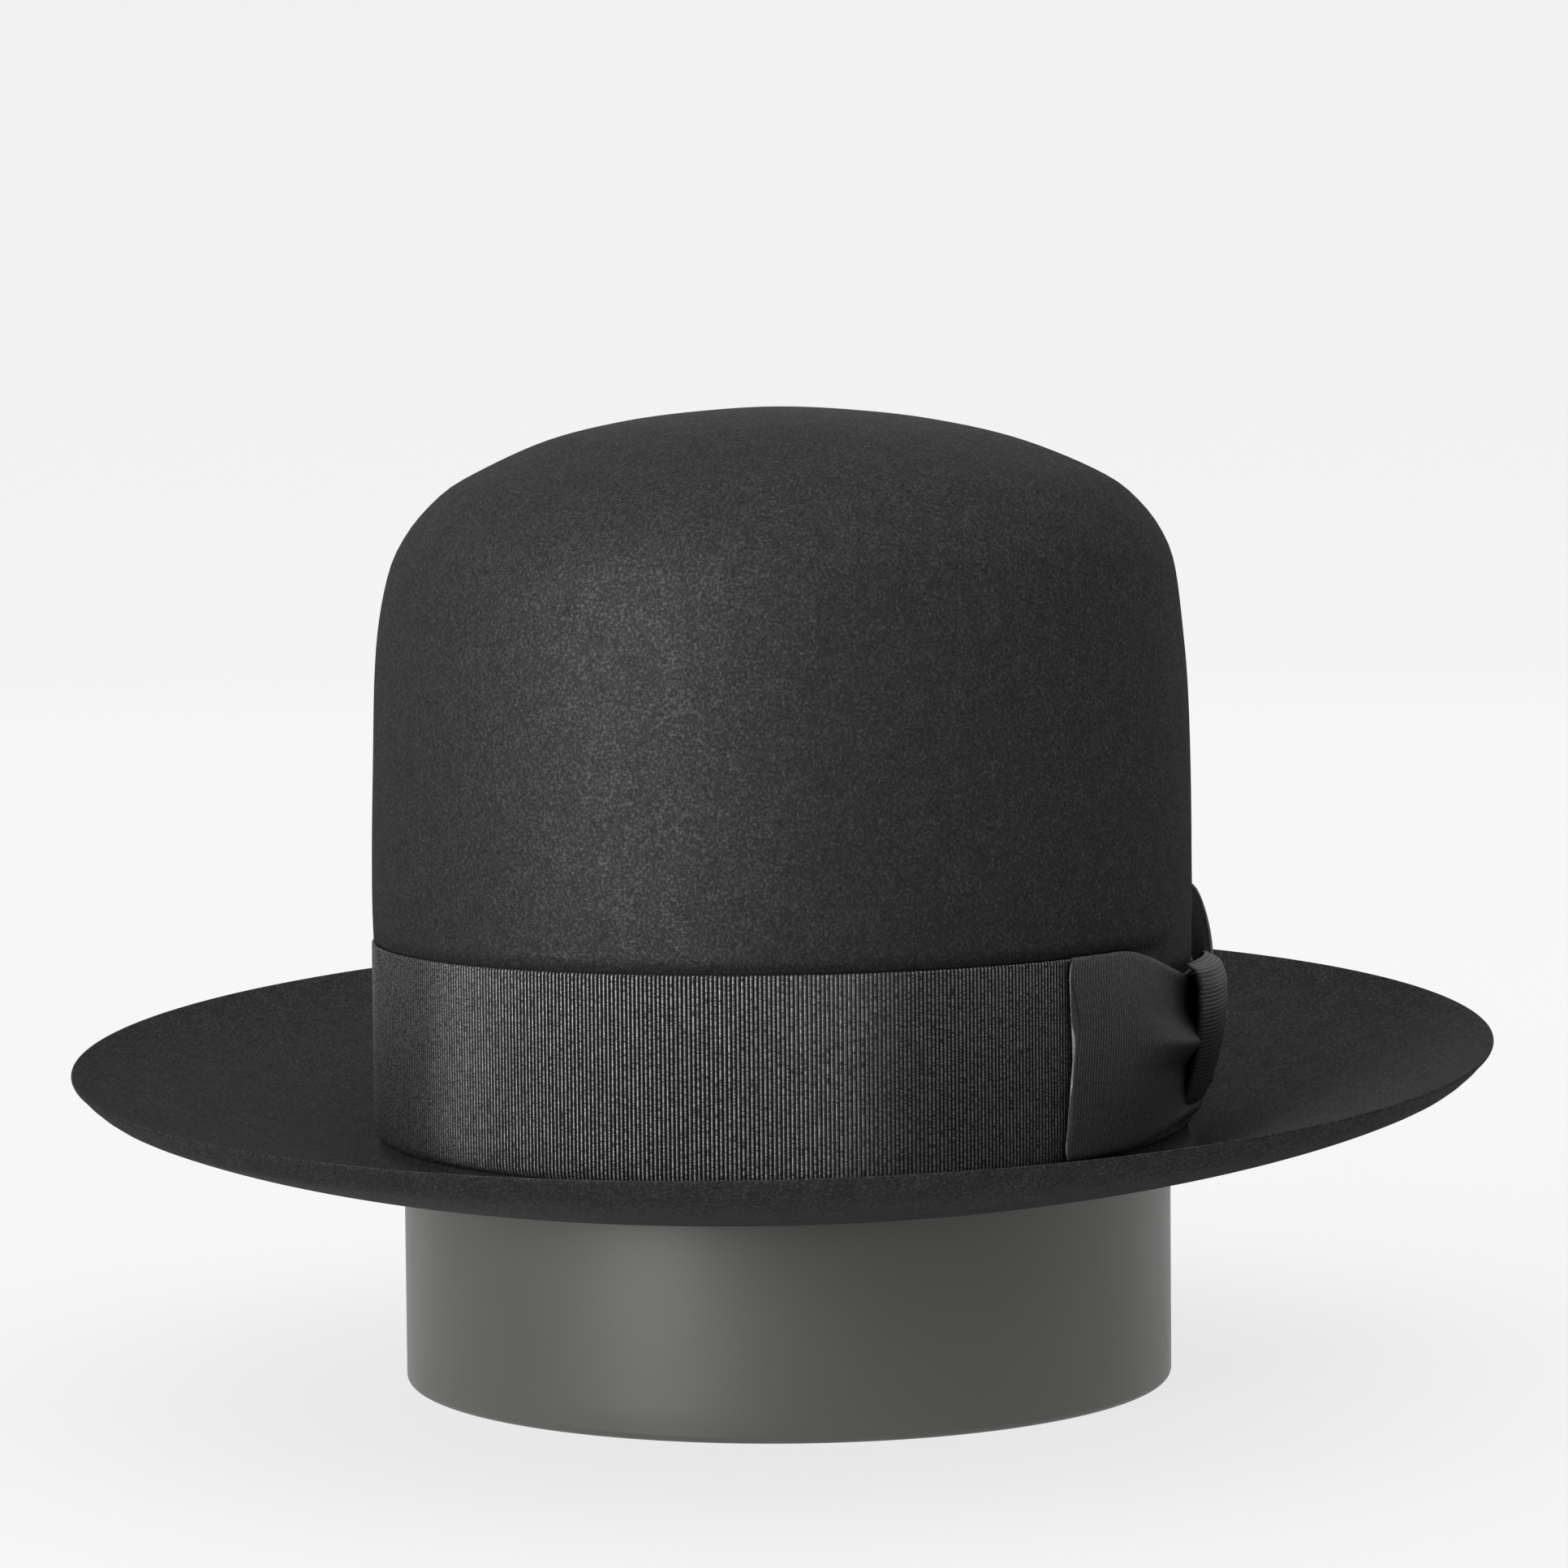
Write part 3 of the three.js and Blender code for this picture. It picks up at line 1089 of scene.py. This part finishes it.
@dataclass
class BowStrap:
    """The short strap round the bow's middle, whose ribs lie level because it runs up and down."""

    form: HatForm
    finish: bpy.types.Material
    foot: float = 3.2
    top: float = 36.5
    left_turn: float = 81.0  # the strap spreads a little past the gathers on its front side
    # how far the strap's outside stands off the ribbon, by share of the height
    shape: Sequence[tuple[float, float]] = (
        (0.0, 1.2),
        (0.15, 3.4),
        (0.33, 5.4),
        (0.55, 6.9),
        (0.75, 7.4),
        (0.9, 6.8),
        (0.97, 5.4),
        (1.0, 3.4),
    )
    thickness: float = 1.1
    side_rounding: float = 0.22
    rib_depth: float = 0.04
    edge_share: float = 0.04  # share of the width that a selvedge takes
    path_steps: int = 400
    columns: int = 40

    def build(self) -> bpy.types.Object:
        """Makes the strap.

        Returns:
            The dressed piece.
        """
        form = self.form
        fine = np.linspace(0, 1, self.path_steps)
        path = np.stack([between(self.shape, fine), self.foot + (self.top - self.foot) * fine], -1)
        run = run_along(path)
        count = int(run[-1] / form.rib * form.steps_per_rib)
        up = np.interp(np.linspace(0, run[-1], count), run, fine)
        across = np.linspace(0, 1, self.columns)
        loop = np.concatenate([across, across[::-1]])
        outer = np.concatenate([np.ones(self.columns), np.zeros(self.columns)])[None]
        turn = np.radians(self.left_turn + (form.wrap_to - self.left_turn) * loop)[None]
        side = (2 * loop - 1)[None] ** 4
        full = between(self.shape, up)[:, None] * (1 - self.side_rounding * side)
        edge = (smooth(0, self.edge_share, loop) * smooth(0, self.edge_share, 1 - loop))[None]
        ripple = (rib_rise(form.ribs(count)) - 1)[:, None] * self.rib_depth * edge
        lift = np.where(outer > 0.5, full + ripple, np.maximum(full - self.thickness, 0))
        height = self.foot + (self.top - self.foot) * up[:, None]
        points = form.place(form.ribbon_half_width + form.gap + lift, turn, height)
        across_ribs = form.ribs(count)[:, None] * form.rib
        width = np.concatenate([form.along_ribbon(turn[0]), form.along_ribbon(turn[0, :1])])[None]
        cloth = spread(across_ribs * MM, width * MM)
        piece = skin("bow_strap", points, cloth, closed=False)
        return dress(piece, self.finish, "bow_wrap")


@dataclass
class Bow:
    """The flat bow on the wearer's left: two leaves and the strap that holds them."""

    form: HatForm
    finish: bpy.types.Material
    gathered: Sequence[tuple[float, float]] = (
        (0.0, 2.6),
        (0.1, 2.0),
        (0.24, 1.7),
        (0.38, 2.2),
        (0.47, 4.4),
        (0.53, 5.4),
        (0.6, 4.2),
        (0.7, 2.2),
        (0.8, 1.7),
        (0.9, 1.9),
        (1.0, 2.6),
    )

    def build(self) -> list[bpy.types.Object]:
        """Makes the bow.

        Returns:
            Its dressed pieces.
        """
        front = BowLeaf(
            self.form,
            self.finish,
            "bow_front_leaf_ribbon",
            "bow_front_leaf",
            fold_turn=(
                (0.0, 52.9),
                (0.06, 52.8),
                (0.19, 53.7),
                (0.33, 54.1),
                (0.47, 54.45),
                (0.57, 54.75),
                (0.66, 54.95),
                (0.78, 54.4),
                (0.9, 53.6),
                (1.0, 54.0),
            ),
            held_turn=89.5,
            free_foot=0.8,
            free_top=41.7,
            free_lift=0.0,
            held_foot=4.6,
            held_top=33.7,
            held_lift=0.0,
            folds=self.gathered,
        )
        rear = BowLeaf(
            self.form,
            self.finish,
            "bow_rear_leaf_ribbon",
            "bow_rear_leaf",
            fold_turn=((0.0, 119.4), (0.5, 120.0), (1.0, 119.6)),
            held_turn=92.3,
            free_foot=9.0,
            free_top=48.5,
            free_lift=3.8,
            held_foot=9.0,
            held_top=34.2,
            held_lift=1.6,
            folds=self.gathered,
        )
        return [front.build(), rear.build(), BowStrap(self.form, self.finish).build()]


@dataclass
class Stand:
    """Plain round column with a domed top inside the crown."""

    form: HatForm
    felt_body: FeltBody
    finish: bpy.types.Material
    radius: float = 83.1
    foot_edge: float = 1.5
    dome_width: float = 0.98
    dome_slope: float = 2.0
    foot_steps: int = 6
    column_rows: int = 24
    around: int = 240

    def build(self) -> bpy.types.Object:
        """Makes the stand.

        Returns:
            The dressed piece.
        """
        dome = self.felt_body.crown_line(self.form.felt + self.form.gap)[::-1]
        dome = dome * (self.dome_width, 1) + (0, self.form.ribbon_foot)
        dome = dome[dome[:, 0] < self.radius][:-1]
        start = dome[0, 1] - (self.radius - dome[0, 0]) * self.dome_slope
        angle = np.radians(np.linspace(-90, 0, self.foot_steps))
        foot = np.stack(
            [
                self.radius - self.foot_edge + self.foot_edge * np.cos(angle),
                self.foot_edge * (1 + np.sin(angle)),
            ],
            -1,
        )
        rows = np.linspace(foot[-1, 1], start, self.column_rows + 1)[1:]
        column = np.stack([np.full(self.column_rows, self.radius), rows], -1)
        line = np.vstack([foot, column, dome])
        turn = np.linspace(0, math.tau, self.around, endpoint=False)[None]
        radius, height = line[:, :1], line[:, 1:]
        points = spread(radius * np.cos(turn), radius * np.sin(turn), height) * MM
        length = math.tau * self.radius * MM
        cloth = spread(np.linspace(0, length, self.around + 1)[None], height * MM)
        piece = skin("stand_column", points, cloth, closed=False)
        return dress(piece, self.finish, "stand")


@dataclass(frozen=True)
class Softbox:
    """A square soft light with a grid. Its bearing is its turn round the hat from the front."""

    name: str
    bearing: float
    elevation: float
    distance: float  # metres
    size: float  # metres
    power: float  # watts
    spread: float  # degrees that the grid lets the light fan out
    aim: float  # height of the point that it faces, in metres

    def build(self) -> bpy.types.Object:
        """Hangs the light.

        Returns:
            The light.
        """
        light = bpy.data.lights.new(self.name, "AREA")
        light.energy = self.power
        light.size = self.size
        light.spread = math.radians(self.spread)
        target = Vector((0, 0, self.aim))
        turn, up = math.radians(self.bearing), math.radians(self.elevation)
        away = Vector((math.sin(turn) * math.cos(up), -math.cos(turn) * math.cos(up), math.sin(up)))
        lamp = bpy.data.objects.new(self.name, light)
        lamp.location = target + away * self.distance
        lamp.rotation_mode = "QUATERNION"
        lamp.rotation_quaternion = (-away).to_track_quat("-Z", "Y")
        bpy.context.scene.collection.objects.link(lamp)
        return lamp


@dataclass
class Studio:
    """Pale paper floor that sweeps up all round, soft lights and the photograph's viewpoint."""

    paper: bpy.types.Material
    floor_radius: float = 4.0  # metres
    sweep_radius: float = 1.2
    wall_height: float = 2.4
    middle_radius: float = 0.05
    floor_rings: int = 12
    sweep_rings: int = 14
    around: int = 96
    world_colour: str = "#fafafa"
    world_strength: float = 1.45
    bearing: float = 12.0  # degrees towards the bow
    distance: float = 1.0
    height: float = 0.18245
    pitch: float = 3.11
    roll: float = -0.52
    focal_px: float = 5692.28
    picture_px: float = 1932.0
    sensor_mm: float = 36.0
    softboxes: Sequence[Softbox] = field(
        default_factory=lambda: (
            Softbox("key_softbox", -26.0, 7.0, 1.0, 0.4, 1.0, 42.0, 0.2),
            Softbox("fill_softbox", -50.0, 2.0, 2.2, 1.2, 3.0, 180.0, 0.05),
        )
    )

    def floor(self) -> bpy.types.Object:
        """Makes the paper sweep.

        Returns:
            The floor, marked as stage.
        """
        angle = np.radians(np.linspace(0, 90, self.sweep_rings))
        bend = np.stack(
            [
                self.floor_radius + self.sweep_radius * np.sin(angle),
                self.sweep_radius * (1 - np.cos(angle)),
            ],
            -1,
        )
        flat_radii = np.geomspace(self.middle_radius, self.floor_radius, self.floor_rings)
        flat = np.stack([flat_radii, np.zeros(self.floor_rings)], -1)
        line = np.vstack([flat[:-1], bend, [bend[-1, 0], self.wall_height]])
        count, around = len(line), self.around
        turn = np.linspace(0, math.tau, around, endpoint=False)
        rings = line[:, :1] * np.cos(turn), line[:, :1] * np.sin(turn), np.repeat(line[:, 1:], around, 1)
        points = np.stack(rings, -1)
        faces = []
        for ring in range(count - 1):
            for here in range(around):
                after = (here + 1) % around
                near, far = ring * around, (ring + 1) * around
                faces.append([near + here, near + after, far + after, far + here])
        faces.append(list(range(around))[::-1])
        mesh = bpy.data.meshes.new("paper_sweep")
        mesh.from_pydata(points.reshape(-1, 3).tolist(), [], faces)
        mesh.polygons.foreach_set("use_smooth", np.ones(len(mesh.polygons), bool))
        mesh.update()
        mesh.materials.append(self.paper)
        sweep = bpy.data.objects.new("paper_sweep", mesh)
        bpy.context.scene.collection.objects.link(sweep)
        return sweep

    def world(self) -> None:
        """Sets the even light that comes from above the sweep."""
        world = bpy.data.worlds.new("studio_light")
        world.use_nodes = True
        tree = world.node_tree
        tree.nodes.clear()
        glow = add_node(
            tree,
            "ShaderNodeBackground",
            values={"Color": linear(self.world_colour), "Strength": self.world_strength},
        )
        add_node(tree, "ShaderNodeOutputWorld", links={"Surface": glow.outputs["Background"]})
        bpy.context.scene.world = world

    def camera(self) -> bpy.types.Object:
        """Sets the camera where the photograph was taken from.

        Returns:
            The camera.
        """
        turn, pitch, roll = (math.radians(a) for a in (self.bearing, self.pitch, self.roll))
        ahead = Vector((-math.sin(turn), math.cos(turn), 0))
        right = Vector((math.cos(turn), math.sin(turn), 0))
        top = Vector((0, 0, 1))
        look = ahead * math.cos(pitch) - top * math.sin(pitch)
        over = top * math.cos(pitch) + ahead * math.sin(pitch)
        side = right * math.cos(roll) + over * math.sin(roll)
        over = over * math.cos(roll) - right * math.sin(roll)
        lens = bpy.data.cameras.new("viewpoint")
        lens.sensor_width = self.sensor_mm
        lens.lens = self.focal_px / self.picture_px * self.sensor_mm
        camera = bpy.data.objects.new("viewpoint", lens)
        turned = Matrix((side, over, -look)).transposed().to_4x4()
        turned.translation = (
            self.distance * math.sin(turn),
            -self.distance * math.cos(turn),
            self.height,
        )
        camera.matrix_world = turned
        bpy.context.scene.collection.objects.link(camera)
        bpy.context.scene.camera = camera
        return camera

    def build(self) -> None:
        """Makes the floor, the lights and the camera."""
        scene = bpy.context.scene
        scene.view_settings.view_transform = "Standard"
        scene.view_settings.look = "None"
        self.floor()
        self.world()
        for box in self.softboxes:
            box.build()
            LOG.info("%s hangs at %.1f m", box.name, box.distance)
        self.camera()


def main() -> None:
    """Builds the hat, its stand and the studio."""
    logging.basicConfig(level=logging.INFO, format="%(name)s: %(message)s")
    form = HatForm()
    felt, grosgrain, paint = FurFelt().build(), Grosgrain().build(), SatinPaint().build()
    # the bow was pressed flat when it was folded, so its ribs hardly show; its furrows get a lighter painted
    # shade
    pressed = Grosgrain(
        name="pressed_grosgrain",
        # painted shade in the furrows, lighter than on the band
        furrow_shade="#212121",
        dull_gloss="#363636",
        bright_gloss="#515151",
        rib_bump_mm=0.05,
        bead_bump=0.6,
    ).build()
    body = FeltBody(form, felt)
    body.build()
    RibbonBand(form, grosgrain).build()
    Bow(form, pressed).build()
    Stand(form, body, paint).build()
    Studio(StudioPaper().build()).build()


if __name__ == "__main__":
    main()
